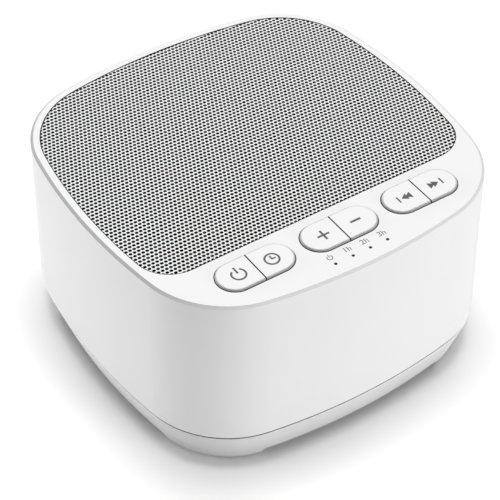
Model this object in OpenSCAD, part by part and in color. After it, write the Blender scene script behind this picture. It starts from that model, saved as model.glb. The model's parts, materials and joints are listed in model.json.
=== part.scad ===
// White noise sound machine: a small bedside speaker that plays steady sounds.
// Origin: centre of the footprint on the table. X to the right, Y to the back, Z up.

/* [Body] */
// Width of the top panel inside its edge chamfer
top_w = 99.8; // [96:0.2:108]
// Depth of the top panel inside its edge chamfer
top_d = 98.6; // [96:0.2:108]
// Overall height from the table to the top panel
body_h = 57; // [54:0.5:66]
// Radius of the gentle bulge of each side
side_r = 158; // [140:1:200]
// Radius of the four corners
corner_r = 24.5; // [22.5:0.5:27]
// Wall thickness of the housing and the cover
wall = 2.2; // [1.8:0.1:2.6]
// Thickness of the top panel
panel_t = 3.2; // [2.8:0.1:3.8]
// Width of the chamfer round the top panel
edge_w = 0.75; // [0.4:0.05:1]
// Drop of the chamfer round the top panel
edge_drop = 0.55; // [0.3:0.05:0.9]
// How far the wall stands out at the parting line, beyond the top panel's edge
flare = 1.2; // [1:0.1:1.6]

/* [Base] */
// Height of the parting line between housing and cover
parting_z = 11.6; // [10.5:0.1:13]
// How far the skirt slopes in, per millimetre of drop
skirt_slope = 0.33; // [0.2:0.01:0.4]
// Height of the raised arch along each side of the skirt
arch_z = 2.1; // [1.6:0.1:2.6]
// Height of the feet's rim above the table
foot_z = 0.4; // [0.2:0.1:0.8]
// Thickness of the cover's floor
floor_t = 2.2; // [1.8:0.1:3]
// Break on each side of the parting line, which shows as a fine groove
lip = 0.3; // [0.15:0.05:0.5]
// Slit at the bottom of that groove, outside the seat of the cover
seam = 0.15; // [0.1:0.05:0.25]
// Height of the cover's tongue inside the housing
tongue_h = 3; // [2:0.1:3.4]
// Thickness of the tongue
tongue_t = 1.4; // [1:0.1:1.8]
// Gap between tongue and housing
tongue_gap = 0.15; // [0.1:0.05:0.3]
// Diameter of the foot pads
pad_d = 10; // [9:0.5:11]
// Depth of the recess that holds a foot pad
pad_recess = 1; // [0.6:0.1:1.4]
// Gap round a foot pad in its recess
pad_gap = 0.1; // [0.05:0.05:0.2]

/* [Grille] */
// Rim of the top panel beside and behind the grille
rim_w = 1.65; // [1.2:0.05:2.5]
// Plain panel in front of the grille, where the keys are
key_panel_d = 20.8; // [20:0.1:23]
// Radius of the grille's two front corners
grille_front_r = 10; // [7:0.5:12]
// Thickness of the perforated steel
grille_t = 0.8; // [0.5:0.1:1]
// Thickness of the dust cloth behind it
cloth_t = 0.35; // [0.2:0.05:0.4]
// How far the steel lies below the panel
grille_sink = 0.1; // [0.05:0.05:0.2]
// Gap all round the steel
grille_gap = 0.25; // [0.15:0.05:0.4]
// How far the cloth stays inside the recess
cloth_margin = 1; // [0.6:0.1:2]
// Spacing of the holes along a row
hole_pitch = 3.42; // [3.2:0.02:5]
// Spacing of the rows, as a share of the hole spacing
row_ratio = 0.988; // [0.86:0.002:1]
// Diameter of a hole
hole_d = 2.04; // [1.2:0.02:2.4]
// Narrowest steel between a hole and the edge
edge_web = 0.5; // [0.4:0.1:1]

/* [Keys] */
// Distance of the outer keys from the side of the top panel
key_margin = 14.7; // [14:0.1:16]
// Plain panel between two key openings, which take two keys each
pill_space = 2.8; // [2.4:0.1:3.4]
// Height of a key opening
pill_h = 10.3; // [9:0.1:11]
// Distance of the keys from the front edge of the top panel
pill_front = 13.1; // [12.8:0.1:14]
// Gap round a key in its opening
key_gap = 0.2; // [0.15:0.05:0.3]
// Gap between the two keys of one opening
key_split = 0.35; // [0.25:0.05:0.5]
// How far the keys stand above the panel
key_rise = 0.6; // [0.4:0.1:1]
// Rounding of the keys' upper edge
key_round = 0.5; // [0.2:0.1:0.5]
// Width of the lip that keeps a key in
lip_w = 0.9; // [0.7:0.1:1.1]
// Thickness of that lip
lip_t = 1; // [0.8:0.1:1.2]
// Gap between the lip and the panel above it
lip_gap = 0.1; // [0.05:0.05:0.2]
// Diameter of the stem under a key
stem_d = 4; // [3.6:0.1:4.6]
// Travel of a key
key_travel = 0.5; // [0.3:0.05:0.6]

/* [Indicators] */
// Spacing of the four indicator pins
dot_pitch = 5.1; // [4.5:0.1:6]
// Distance of the pins from the front edge of the top panel
dot_front = 3.7; // [3.4:0.1:4.2]
// Diameter of a pin
dot_d = 0.75; // [0.6:0.05:1.2]
// Gap round a pin in its hole
dot_gap = 0.05; // [0.03:0.01:0.1]

/* [Speaker] */
// Distance of the opening above the cone from the front and the back of the grille
aperture_margin = 9.1; // [8.8:0.1:12]
// How far the loudspeaker's flange reaches beyond that opening
flange_w = 6; // [5.4:0.1:6.4]
// Height of the moulded ring that the loudspeaker seats on
seat_h = 4; // [3.6:0.1:5]
// Room between the loudspeaker's magnet and the main board
magnet_room = 6.5; // [5.5:0.1:8]
// Thickness of the magnet
magnet_h = 6; // [5:0.5:7]
// Diameter of the magnet
magnet_d = 42; // [36:1:44]

/* [Electronics] */
// Thickness of both circuit boards
board_t = 1.6; // [1:0.1:1.6]
// Depth of the key board's upper face below the panel
key_board_drop = 8.2; // [7.8:0.1:9]
// Height of the tact switches
switch_h = 3.5; // [3.1:0.1:3.8]
// Side of a tact switch
switch_w = 6; // [5:0.1:6.2]
// Diameter of a switch plunger
plunger_d = 3.4; // [2.8:0.1:3.5]
// How far a plunger stands out of its switch
plunger_out = 0.9; // [0.7:0.1:1.2]
// Gap round a plunger in its switch
plunger_gap = 0.05; // [0.04:0.01:0.1]
// Height of the main board's upper face above the parting line
main_board_up = 3.4; // [3.3:0.1:4]
// Distance of the main board's back edge from the back of the top panel
main_board_in = 5.7; // [5.2:0.1:8]

/* [Fasteners] */
// Diameter of the housing screws
screw_d = 3; // [2.6:0.1:3.2]
// Length of the housing screws below the head
screw_l = 16; // [12:1:18]
// Diameter of the small screws of the speaker and the boards
small_screw_d = 2.2; // [1.8:0.1:2.4]

/* [Hidden] */
arc_fn = 180;
round_fn = 48;
small_fn = 24;
eps = 1;

// Bulged outline: four wide side arcs, tangent to four corner arcs. The angles of the joints
// are rounded to a thousandth of a degree, and the centres follow from them, so arcs meet exactly.
function fine(v) = round(v * 1000) / 1000;
wide_x = side_r - top_w / 2;
wide_y = side_r - top_d / 2;
centre_gap = norm([wide_x, wide_y]);
corner_reach = sqrt(pow(side_r - corner_r, 2) - pow(centre_gap / 2, 2));
side_a = fine(atan2(corner_reach * wide_x / centre_gap - wide_y / 2,
  corner_reach * wide_y / centre_gap + wide_x / 2));
front_a = fine(atan2(corner_reach * wide_y / centre_gap - wide_x / 2,
  corner_reach * wide_x / centre_gap + wide_y / 2));
corner_a = 90 - side_a - front_a;
corner_x = (side_r - corner_r) * sin(front_a);
corner_y = (side_r - corner_r) * sin(side_a);
side_x = (side_r - corner_r) * cos(side_a) - corner_x;
side_y = (side_r - corner_r) * cos(front_a) - corner_y;
// Each arc: centre x, centre y, radius, first angle, sweep
side_arcs = [
  [-side_x, 0, side_r, -side_a, 2 * side_a],
  [0, -side_y, side_r, 90 - front_a, 2 * front_a],
  [side_x, 0, side_r, 180 - side_a, 2 * side_a],
  [0, side_y, side_r, 270 - front_a, 2 * front_a]];
corner_arcs = [
  [corner_x, corner_y, corner_r, side_a, corner_a],
  [-corner_x, corner_y, corner_r, 90 + front_a, corner_a],
  [-corner_x, -corner_y, corner_r, 180 + side_a, corner_a],
  [corner_x, -corner_y, corner_r, 270 + front_a, corner_a]];
body_arcs = [for (k = [0 : 3]) each [side_arcs[k], corner_arcs[k]]];

// Grille recess: the same outline, set in by the rim, with a straight front
grille_r = side_r - rim_w;
grille_a = fine(asin((key_panel_d - top_d / 2 + grille_front_r) / (grille_r - grille_front_r)));
front_cx = (grille_r - grille_front_r) * cos(grille_a) - side_x;
front_cy = (grille_r - grille_front_r) * sin(grille_a);
grille_y = front_cy - grille_front_r;
grille_arcs = [
  [-side_x, 0, grille_r, grille_a, side_a - grille_a],
  [corner_x, corner_y, corner_r - rim_w, side_a, corner_a],
  [0, -side_y, grille_r, 90 - front_a, 2 * front_a],
  [-corner_x, corner_y, corner_r - rim_w, 90 + front_a, corner_a],
  [side_x, 0, grille_r, 180 - side_a, side_a - grille_a],
  [-front_cx, front_cy, grille_front_r, 180 - grille_a, 90 + grille_a],
  [front_cx, front_cy, grille_front_r, 270, 90 + grille_a]];

// Heights
panel_z = body_h - panel_t;
grille_top = body_h - grille_sink;
grille_z = grille_top - grille_t;
recess_z = grille_z - cloth_t;
floor_z = arch_z + floor_t;
key_top = body_h + key_rise;
lip_z = panel_z - lip_gap - lip_t;
key_board_z = panel_z - key_board_drop;
switch_top = key_board_z + switch_h;
plunger_top = switch_top + plunger_out;
plunger_in = 0.9;
main_board_z = parting_z + main_board_up;
plate_lap = 12;
foot_lap = 17;
fill_lap = 9;
fill_steps = 8;
inner_break = 1;

// Places
speaker_y = (grille_y + top_d / 2 - rim_w) / 2;
pill_w = (top_w - 2 * key_margin - 2 * pill_space) / 3;
pill_pitch = pill_w + pill_space;
pill_y = pill_front - top_d / 2;
stem_x = pill_w / 4;
dot_y = dot_front - top_d / 2;
post_rho = 15.6;
post_d = 7;
post_z = 20;
post_clear = 0.8;
post_front_top = key_board_z - board_t - post_clear;
foot_web = 0.5;
front_post_a = -side_a - asin((pad_d / 2 + pad_gap + foot_web) / post_rho);
back_post_a = 45;
tower_d = 8.6;
head_d = 5.6;
head_h = 2.4;
head_gap = 0.3;
head_top = 14;
rib_t = 2;
rib_end = 0.4;
posts = [for (s = [-1, 1]) each [
  [s * (corner_x + post_rho * cos(front_post_a)), -corner_y + post_rho * sin(front_post_a)],
  [s * (corner_x + post_rho * cos(back_post_a)), corner_y + post_rho * sin(back_post_a)]]];

// Small screws
small_head_d = 2 * small_screw_d;
small_head_h = 1.4;
boss_d = 5;
screw_reach = 4.5;
boss_gap = 0.4;
pin_bar_l = 3 * dot_pitch + 4;
boss_back_y = pill_y + pill_h / 2 + lip_w + boss_gap + boss_d / 2;
boss_front_y = pill_y - pill_h / 2 - boss_d / 2;
boss_front_x = (pin_bar_l + boss_d) / 2 + boss_gap;
key_board_spots = [for (s = [-1, 1]) each [[s * boss_front_x, boss_front_y],
  [s * (pill_pitch + boss_d), boss_back_y]]];
board_edge = 3.2;

// Main board, with a tab that carries the power inlet to the back wall
main_side_gap = 3.2;
main_w = 2 * (corner_x + post_rho * cos(back_post_a) - tower_d / 2 - main_side_gap);
main_d = 33.6;
main_back = top_d / 2 - main_board_in;
main_front = main_back - main_d;
main_spots = [for (s = [-1, 1]) for (y = [main_front + 5.5, main_back - 3]) [s * (main_w / 2 - 3.5), y]];
stand_d = 5;
tab_w = 18;
notch_gap = 2;
notch_h = 10;
small_socket = [8, 4.5, 4];
large_socket = [12, 4.5, 4];
main_chip = [7, 7, 1];
power_chip = [5, 4, 1.5];
can_d = 6.3;
can_h = 5.4;

// Room between the bottom of the basket and the cone's neck
coil_room = 8;

// Speaker
aperture_d = top_d - key_panel_d - rim_w - 2 * aperture_margin;
speaker_d = aperture_d + 2 * flange_w;
flange_t = 1;
gasket_t = 0.8;
seat_z = panel_z - seat_h;
flange_z = seat_z - gasket_t - flange_t;
seat_id = aperture_d + 1;
seat_od = speaker_d + 1;
speaker_screw_r = (seat_id + seat_od) / 4;
speaker_screw_a = 45;
basket_t = 0.8;
top_plate_t = 3;
yoke_t = 2.5;
basket_z = main_board_z + magnet_room + yoke_t + magnet_h + top_plate_t;
pole_r = 6.1;
coil_r = 6.9;
gap_r = 7.6;

// USB power inlet, in the middle of the back
usb_w = 8.94;
usb_h = 3.26;
usb_l = 7.5;
usb_slot_gap = 0.25;
usb_z = main_board_z + usb_h / 2;
back_y = top_d / 2 + flare;
usb_back = back_y - 0.25;

// Moves in two steps, a coarse and a fine one, so that a long decimal keeps its last digits
module exactly(x, y) {
  step = 10;
  translate([round(x * step) / step, round(y * step) / step, 0])
    translate([x - round(x * step) / step, y - round(y * step) / step, 0])
      children();
}

// Sweep of a profile of [inset, height] points along a list of arcs
module along(arcs, profile) {
  for (a = arcs)
    exactly(a[0], a[1])
      rotate_extrude(angle = a[4], start = a[3], $fn = arc_fn)
        polygon([for (p = profile) [fine(a[2] - p[0]), fine(p[1])]]);
}

function arc_points(a, inset) = [for (i = [0 : fill_steps - 1])
  let (t = a[3] + a[4] * (i + 0.5) / fill_steps)
  [a[0] + (a[2] - inset) * cos(t), a[1] + (a[2] - inset) * sin(t)]];

// Flat fill inside the swept outline
module fill(z0, z1) {
  translate([0, 0, z0])
    linear_extrude(z1 - z0)
      polygon([for (a = body_arcs) each arc_points(a, fill_lap)]);
}

// Slab with the outline of the grille recess, set in by edge
module grille_slab(edge, z0, z1) {
  lap = 5;
  along(grille_arcs, [[edge, z0], [lap, z0], [lap, z1], [edge, z1]]);
  for (s = [0, 1])
    mirror([s, 0, 0])
      exactly(front_cx, front_cy)
        translate([-1.5 * front_cx, edge - grille_front_r, z0])
          cube([1.5 * front_cx, lap - edge, z1 - z0]);
  translate([0, 0, z0])
    linear_extrude(z1 - z0)
      polygon([for (a = grille_arcs) each arc_points(a, lap - 1)]);
}

// Distance of a point from the edge of the grille recess
function grille_inset(x, y) =
  let (px = abs(x),
    c = [px - corner_x, y - corner_y],
    f = [px - front_cx, y - front_cy],
    ca = atan2(c[1], c[0]),
    fa = atan2(f[1], f[0]))
  ca > side_a && ca < 90 - front_a ? corner_r - rim_w - norm(c)
  : fa > -90 && fa < grille_a ? grille_front_r - norm(f)
  : min(grille_r - norm([px + side_x, y]), grille_r - norm([x, y + side_y]), y - grille_y);

// Slot with round ends, lying along X
module slot_prism(w, h, z0, z1) {
  straight = (w - h) / 2;
  translate([-straight, -h / 2, z0])
    cube([2 * straight, h, z1 - z0]);
  for (s = [0, 1])
    rotate([0, 0, 180 * s])
      translate([straight, 0, 0])
        rotate([0, 0, -90])
          rotate_extrude(angle = 180, $fn = round_fn)
            translate([0, z0])
              square([h / 2, z1 - z0]);
}

// Half of a pill, for one key: its profile is given as [inset, height] points
module half_pill(side, w, h, profile) {
  straight = (w - h) / 2;
  start = key_split / 2;
  outline = concat(
    [for (p = profile) [h / 2 - p[0], p[1]]],
    [for (k = [len(profile) - 1 : -1 : 0]) [profile[k][0] - h / 2, profile[k][1]]]);
  mirror([side < 0 ? 1 : 0, 0, 0]) {
    translate([start, 0, 0])
      rotate([90, 0, 90])
        linear_extrude(straight - start)
          polygon(outline);
    translate([straight, 0, 0])
      rotate([0, 0, -90])
        rotate_extrude(angle = 180, $fn = round_fn)
          polygon(concat([[0, profile[0][1]]], [for (p = profile) [h / 2 - p[0], p[1]]],
            [[0, profile[len(profile) - 1][1]]]));
  }
}

// White upper moulding: wall, top panel, seat ring, posts and bosses
module upper_housing() {
  profile = [[0, body_h], [-edge_w, body_h - edge_drop], [-flare, parting_z + lip],
    [lip - flare, parting_z], [wall - flare, parting_z],
    [wall - edge_w, panel_z - inner_break], [wall - edge_w + inner_break, panel_z],
    [plate_lap, panel_z], [plate_lap, body_h]];
  color("white")
    difference() {
      union() {
        along(body_arcs, profile);
        fill(panel_z, body_h);
        translate([0, speaker_y, seat_z])
          cylinder(d = seat_od, h = seat_h + eps, $fn = arc_fn);
        for (p = posts)
          post(p);
        for (p = key_board_spots)
          translate([p[0], p[1], key_board_z])
            cylinder(d = boss_d, h = key_board_drop + eps, $fn = round_fn);
      }
      grille_slab(0, recess_z, body_h + eps);
      translate([0, speaker_y, seat_z - eps])
        cylinder(d = seat_id, h = seat_h + eps, $fn = arc_fn);
      translate([0, speaker_y, panel_z - eps])
        cylinder(d = aperture_d, h = panel_t + eps, $fn = arc_fn);
      for (k = [-1 : 1])
        translate([k * pill_pitch, pill_y, 0])
          slot_prism(pill_w, pill_h, panel_z - eps, body_h + eps);
      for (k = [-1.5 : 1.5])
        translate([k * dot_pitch, dot_y, panel_z - eps])
          cylinder(d = dot_d + 2 * dot_gap, h = panel_t + 2 * eps, $fn = small_fn);
      for (p = posts)
        translate([p[0], p[1], post_z - eps])
          cylinder(d = screw_d, h = head_top + screw_l - post_z + 2 * eps, $fn = small_fn);
      for (p = key_board_spots)
        translate([p[0], p[1], key_board_z - eps])
          cylinder(d = small_screw_d, h = screw_reach + 2 * eps, $fn = small_fn);
      for (k = [0 : 3])
        translate([0, speaker_y, seat_z - eps])
          rotate([0, 0, speaker_screw_a + 90 * k])
            translate([speaker_screw_r, 0, 0])
              cylinder(d = small_screw_d, h = screw_reach, $fn = small_fn);
      translate([0, back_y - 2 * wall, usb_z])
        rotate([-90, 0, 0])
          slot_prism(usb_w + 2 * usb_slot_gap, usb_h + 2 * usb_slot_gap, 0, 3 * wall);
    }
}

// One screw post with a rib to the wall
module post(p) {
  front = p[1] < 0;
  a = front ? front_post_a : back_post_a;
  top = front ? post_front_top : panel_z + eps;
  rib_top = front ? post_front_top - rib_t : top;
  translate([p[0], p[1], post_z])
    cylinder(d = post_d, h = top - post_z, $fn = round_fn);
  translate([p[0], p[1], post_z])
    rotate([0, 0, p[0] > 0 ? a : 180 - a])
      translate([0, -rib_t / 2, 0])
        cube([corner_r - rib_end - post_rho, rib_t, rib_top - post_z]);
}

function skirt(z) = (parting_z - z) * skirt_slope - flare;

// Bottom cover: sloping skirt, raised arches, corner feet, floor, tongue and screw towers
module bottom_cover() {
  tongue_out = wall - flare + tongue_gap;
  tongue_in = tongue_out + tongue_t;
  seat_in = wall / 2 - flare;
  upper = [[tongue_out, parting_z], [seat_in, parting_z], [seat_in, parting_z - seam],
    [lip - flare, parting_z - seam], [-flare, parting_z - seam - lip]];
  inside = [[skirt(floor_z) + wall + inner_break, floor_z],
    [skirt(floor_z + inner_break) + wall, floor_z + inner_break],
    [tongue_in, parting_z - inner_break], [tongue_in, parting_z + tongue_h],
    [tongue_out, parting_z + tongue_h]];
  shell = concat(upper, [[skirt(foot_z + lip), foot_z + lip], [skirt(foot_z) + lip, foot_z],
    [foot_lap, foot_z], [foot_lap, floor_z]], inside);
  arch = [[-flare - eps, 0], [foot_lap + eps, 0], [foot_lap + eps, arch_z], [-flare - eps, arch_z]];
  color("whitesmoke")
    difference() {
      union() {
        along(body_arcs, shell);
        fill(arch_z, floor_z);
        for (p = posts)
          translate([p[0], p[1], arch_z])
            cylinder(d = tower_d, h = post_z - arch_z, $fn = round_fn);
        for (p = main_spots)
          translate([p[0], p[1], arch_z])
            cylinder(d = stand_d, h = main_board_z - board_t - arch_z, $fn = round_fn);
      }
      along(side_arcs, arch);
      for (p = posts)
        translate([p[0], p[1], 0]) {
          cylinder(d = screw_d + head_gap, h = post_z + eps, $fn = small_fn);
          cylinder(d = head_d + 2 * head_gap, h = head_top, $fn = round_fn);
          cylinder(d = pad_d + 2 * pad_gap, h = foot_z + pad_recess, $fn = round_fn);
        }
      for (p = main_spots)
        translate([p[0], p[1], main_board_z - board_t - screw_reach])
          cylinder(d = small_screw_d, h = screw_reach + eps, $fn = small_fn);
      translate([-tab_w / 2 - notch_gap, main_back, main_board_z - board_t - head_gap])
        cube([tab_w + 2 * notch_gap, back_y - main_back, notch_h]);
    }
}

// Four rubber pads, which cover the screws
module foot_pads() {
  color("gray")
    for (p = posts)
      translate([p[0], p[1], 0])
        cylinder(d = pad_d, h = foot_z + pad_recess, $fn = round_fn);
}

// Pan-head screw, head down, shank up
module screw(d, hd, hh, l) {
  socket_r = d * 0.45;
  color("silver")
    difference() {
      rotate_extrude($fn = small_fn)
        polygon([[0, -hh], [hd / 2 - hh / 3, -hh], [hd / 2, -hh * 2 / 3], [hd / 2, 0], [d / 2, 0],
          [d / 2, l - d / 3], [d / 4, l], [0, l]]);
      translate([0, 0, -hh - eps])
        cylinder(r = socket_r, h = hh / 2 + eps, $fn = 6);
    }
}

module housing_screws() {
  for (p = posts)
    translate([p[0], p[1], head_top])
      screw(screw_d, head_d, head_h, screw_l);
}

// Perforated steel, with staggered rows of holes up to its edge
module speaker_grille() {
  row = hole_pitch * row_ratio;
  rows = floor((top_d - key_panel_d) / row);
  half = floor(top_w / 2 / hole_pitch) + 1;
  first = grille_y + (top_d - key_panel_d - rim_w - (rows - 1) * row) / 2;
  keep = hole_d / 2 + edge_web + grille_gap;
  color("lightgray")
    difference() {
      grille_slab(grille_gap, grille_z, grille_top);
      for (j = [0 : rows - 1])
        for (i = [-half : half])
          let (x = (i + (j % 2) / 2) * hole_pitch, y = first + j * row)
            if (grille_inset(x, y) > keep)
              translate([x, y, grille_z - eps])
                cylinder(d = hole_d, h = grille_t + 2 * eps, $fn = small_fn);
    }
}

module dust_cloth() {
  color([0.08, 0.08, 0.09])
    grille_slab(cloth_margin, recess_z, grille_z);
}

// One key: rounded cap in the opening, lip under the panel, stem to its switch
module key(place, side) {
  steps = 3;
  cap = concat([[0, lip_z]], [for (k = [0 : steps])
    let (t = 90 * k / steps)
    [key_round * (1 - cos(t)), key_top - key_round * (1 - sin(t))]]);
  color("white")
    translate([place * pill_pitch, pill_y, 0]) {
      half_pill(side, pill_w - 2 * key_gap, pill_h - 2 * key_gap, cap);
      half_pill(side, pill_w + 2 * lip_w, pill_h + 2 * lip_w, [[0, lip_z], [0, lip_z + lip_t]]);
      translate([side * stem_x, 0, plunger_top])
        cylinder(d = stem_d, h = lip_z - plunger_top + lip_t / 2, $fn = round_fn);
    }
}

module plunger(place, side) {
  color("dimgray")
    translate([place * pill_pitch + side * stem_x, pill_y, switch_top - plunger_in])
      cylinder(d = plunger_d, h = plunger_in + plunger_out, $fn = round_fn);
}

module key_power() { key(-1, -1); }
module key_timer() { key(-1, 1); }
module key_volume_up() { key(0, -1); }
module key_volume_down() { key(0, 1); }
module key_previous() { key(1, -1); }
module key_next() { key(1, 1); }
module plunger_power() { plunger(-1, -1); }
module plunger_timer() { plunger(-1, 1); }
module plunger_volume_up() { plunger(0, -1); }
module plunger_volume_down() { plunger(0, 1); }
module plunger_previous() { plunger(1, -1); }
module plunger_next() { plunger(1, 1); }

// Six switch bodies on the key board, each with a steel cover plate
module tact_switches() {
  cover_t = 0.3;
  well = plunger_in + key_travel + 0.1;
  color("silver")
    for (k = [-1 : 1])
      for (s = [-1, 1])
        translate([k * pill_pitch + s * stem_x, pill_y, key_board_z])
          difference() {
            union() {
              translate([-switch_w / 2, -switch_w / 2, 0])
                cube([switch_w, switch_w, switch_h - cover_t]);
              translate([0.25 - switch_w / 2, 0.25 - switch_w / 2, 0])
                cube([switch_w - 0.5, switch_w - 0.5, switch_h]);
            }
            translate([0, 0, switch_h - well])
              cylinder(d = plunger_d + 2 * plunger_gap, h = well + eps, $fn = round_fn);
          }
}

// Key board: follows the front of the housing, held under the panel
module key_board() {
  clear = 0.8;
  w = pill_pitch + stem_x + switch_w / 2 + clear;
  tab = boss_front_x + board_edge;
  cut = 6;
  back = boss_back_y + board_edge;
  mid = pill_y - pill_h / 2 - 0.6;
  front = dot_y - 1;
  color("darkgreen")
    difference() {
      translate([0, 0, key_board_z - board_t])
        linear_extrude(board_t)
          polygon([[-w, back], [-w, mid + cut], [cut - w, mid], [-tab, mid], [-tab, front],
            [tab, front], [tab, mid], [w - cut, mid], [w, mid + cut], [w, back]]);
      for (p = key_board_spots)
        translate([p[0], p[1], key_board_z - board_t - eps])
          cylinder(d = small_screw_d + 0.2, h = board_t + 2 * eps, $fn = small_fn);
    }
}

module key_board_screws() {
  for (p = key_board_spots)
    translate([p[0], p[1], key_board_z - board_t])
      screw(small_screw_d, small_head_d, small_head_h, board_t + screw_reach);
}

// Dark light pipe: a bar under the panel with four pins up and four legs down
module indicator_pins() {
  bar_w = 2.4;
  bar_t = 1.4;
  leg_d = 1.8;
  leg_end = key_board_z + 1;
  color([0.06, 0.06, 0.07]) {
    translate([-pin_bar_l / 2, dot_y - 1, panel_z - bar_t])
      cube([pin_bar_l, bar_w, bar_t]);
    for (k = [-1.5 : 1.5])
      translate([k * dot_pitch, dot_y, 0]) {
        translate([0, 0, panel_z - bar_t / 2])
          cylinder(d = dot_d, h = panel_t + bar_t / 2, $fn = small_fn);
        translate([0, 0, leg_end])
          cylinder(d = leg_d, h = panel_z - bar_t / 2 - leg_end, $fn = small_fn);
      }
  }
}

module status_leds() {
  led = [1.6, 0.8, 0.7];
  color("ivory")
    for (k = [-1.5 : 1.5])
      translate([k * dot_pitch - led[0] / 2, dot_y - led[1] / 2, key_board_z])
        cube(led);
}

// Places a piece of the loudspeaker on its axis
module on_axis(z) {
  translate([0, speaker_y, z])
    children();
}

module ring(r0, r1, h) {
  rotate_extrude($fn = arc_fn)
    translate([r0, 0])
      square([r1 - r0, h]);
}

module speaker_gasket() {
  color([0.1, 0.1, 0.1])
    difference() {
      on_axis(seat_z - gasket_t)
        ring(seat_id / 2, speaker_d / 2, gasket_t);
      speaker_holes(seat_z - gasket_t, gasket_t);
    }
}

module speaker_holes(z, h) {
  for (k = [0 : 3])
    translate([0, speaker_y, z - eps])
      rotate([0, 0, speaker_screw_a + 90 * k])
        translate([speaker_screw_r, 0, 0])
          cylinder(d = small_screw_d + 0.3, h = h + 2 * eps, $fn = small_fn);
}

// Pressed steel frame: flange, open conical basket and bottom ring
module speaker_frame() {
  rim = seat_id / 2 - 1.5;
  foot = magnet_d / 2 - 1;
  bore = gap_r + 1;
  window_a = 58;
  color("dimgray")
    difference() {
      on_axis(0)
        rotate_extrude($fn = arc_fn)
          polygon([[rim, flange_z + flange_t], [speaker_d / 2, flange_z + flange_t],
            [speaker_d / 2, flange_z], [rim + basket_t, flange_z], [foot, basket_z],
            [bore, basket_z], [bore, basket_z + basket_t], [foot - basket_t, basket_z + basket_t],
            [rim, flange_z]]);
      speaker_holes(flange_z, flange_t);
      for (k = [0 : 3])
        on_axis(0)
          rotate([0, 0, 90 * k - window_a / 2])
            rotate_extrude(angle = window_a, $fn = arc_fn)
              polygon([[foot - 2, basket_z + 2.5], [foot + 9, basket_z + 2.5],
                [foot + 9, flange_z - 2], [foot - 2, flange_z - 2]]);
    }
}

// Half-roll rubber surround between the flange and the cone
module speaker_surround() {
  out_r = seat_id / 2 - 0.3;
  roll = 2.6;
  land = 1.4;
  skin = 0.5;
  mid = out_r - land - roll;
  z = flange_z + flange_t;
  steps = 10;
  color([0.07, 0.07, 0.07])
    on_axis(z)
      rotate_extrude($fn = arc_fn)
        polygon(concat([[out_r, 0], [out_r, skin]],
          [for (k = [0 : steps]) let (t = 180 * k / steps) [mid + roll * cos(t), skin + (roll - skin) * sin(t)]],
          [[mid - roll - land, skin], [mid - roll - land, 0]],
          [for (k = [steps : -1 : 0]) let (t = 180 * k / steps)
            [mid + (roll - skin) * cos(t), (roll - 2 * skin) * sin(t)]]));
}

cone_r = seat_id / 2 - 0.3 - 1.4 - 5.2;
cone_z = flange_z + flange_t;
cone_low = basket_z + coil_room;
skin_t = 0.5;

module speaker_cone() {
  color([0.09, 0.09, 0.1])
    on_axis(0)
      rotate_extrude($fn = arc_fn)
        polygon([[coil_r + 0.3, cone_low], [cone_r - 0.2, cone_z - skin_t], [cone_r, cone_z - skin_t],
          [cone_r, cone_z], [cone_r - 0.7, cone_z], [coil_r + 0.3, cone_low + 1]]);
}

module speaker_dust_cap() {
  cap_r = 9;
  rise = 3;
  steps = 8;
  base = cone_low + 1 + (cap_r - coil_r - 0.3) * (cone_z - cone_low - 1) / (cone_r - 0.7 - coil_r - 0.3);
  color([0.12, 0.12, 0.13])
    on_axis(base)
      rotate_extrude($fn = arc_fn)
        polygon(concat([for (k = [0 : steps]) let (t = 90 * k / steps) [cap_r * cos(t), rise * sin(t)]],
          [for (k = [steps : -1 : 0]) let (t = 90 * k / steps)
            [(cap_r - skin_t) * cos(t), (rise - skin_t) * sin(t)]]));
}

module voice_coil() {
  color("peru")
    on_axis(basket_z - top_plate_t + 0.4)
      ring(coil_r - 0.3, coil_r + 0.3, cone_low + 0.6 - basket_z + top_plate_t - 0.4);
}

// Corrugated spider, which centres the coil
module speaker_spider() {
  out_r = magnet_d / 2 - 2.4;
  in_r = coil_r + 0.3;
  z = basket_z + basket_t;
  waves = 3;
  steps = 24;
  skin = 0.4;
  swing = 0.5;
  lift = 1.2;
  color("darkkhaki") {
    on_axis(z)
      rotate_extrude($fn = arc_fn)
        polygon(concat(
          [for (k = [0 : steps]) [in_r + (out_r - in_r) * k / steps,
            lift + swing * sin(360 * waves * k / steps)]],
          [for (k = [steps : -1 : 0]) [in_r + (out_r - in_r) * k / steps,
            lift + skin + swing * sin(360 * waves * k / steps)]]));
    on_axis(z)
      ring(out_r - 1, out_r, lift + skin / 2);
  }
}

module magnet_top_plate() {
  color("silver")
    on_axis(basket_z - top_plate_t)
      ring(gap_r, magnet_d / 2 - 1, top_plate_t);
}

module speaker_magnet() {
  color([0.16, 0.16, 0.17])
    on_axis(basket_z - top_plate_t - magnet_h)
      ring(gap_r + 2, magnet_d / 2, magnet_h);
}

module magnet_yoke() {
  z = basket_z - top_plate_t - magnet_h - yoke_t;
  color("silver")
    on_axis(z)
      rotate_extrude($fn = arc_fn)
        polygon([[0, 0], [magnet_d / 2 - 1.5, 0], [magnet_d / 2 - 1, 0.5], [magnet_d / 2 - 1, yoke_t],
          [pole_r, yoke_t], [pole_r, yoke_t + magnet_h + top_plate_t - 0.5],
          [pole_r - 0.5, yoke_t + magnet_h + top_plate_t], [0, yoke_t + magnet_h + top_plate_t]]);
}

// Tag strip under the flange, where the two leads are soldered
module speaker_terminals() {
  strip = [12, 3.4, 1.2];
  tag = [1.6, 3.4, 0.4];
  y = speaker_y - speaker_d / 2 + 0.6;
  color("burlywood") {
    translate([-strip[0] / 2, y, flange_z - strip[2]])
      cube(strip);
    for (s = [-1, 1])
      translate([s * 3.4 - tag[0] / 2, y - 1.4, flange_z - strip[2] - tag[2]])
        cube([tag[0], tag[1] + 1, tag[2]]);
  }
}

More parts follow.
